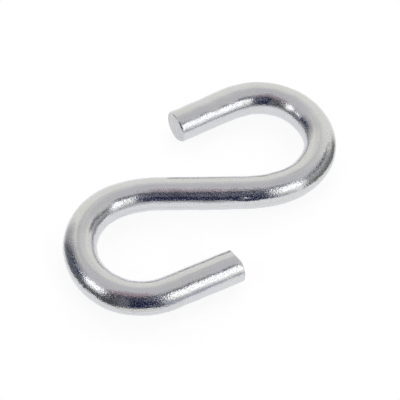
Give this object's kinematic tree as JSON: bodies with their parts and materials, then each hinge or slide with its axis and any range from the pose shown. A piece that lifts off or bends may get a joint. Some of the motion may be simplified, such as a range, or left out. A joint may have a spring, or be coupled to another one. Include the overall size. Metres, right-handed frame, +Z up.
{
  "type": "s hook",
  "caption": "Round steel wire bent into an S, with an open hook at each end facing opposite ways, for hanging or joining chains, rings and ropes.",
  "frame": {"origin": "on the surface that the hook lies on, under the middle of its outline", "axes": "+X along the load line, from the centre of the lower bow to the centre of the upper bow; +Z up, across the flat of the S"},
  "size_m": [0.0592, 0.034, 0.006],
  "materials": {
    "plated_wire": "bright zinc plated steel wire, slightly mottled"
  },
  "bodies": {
    "root": {"s_hook": "plated_wire"}
  },
  "joints": []
}
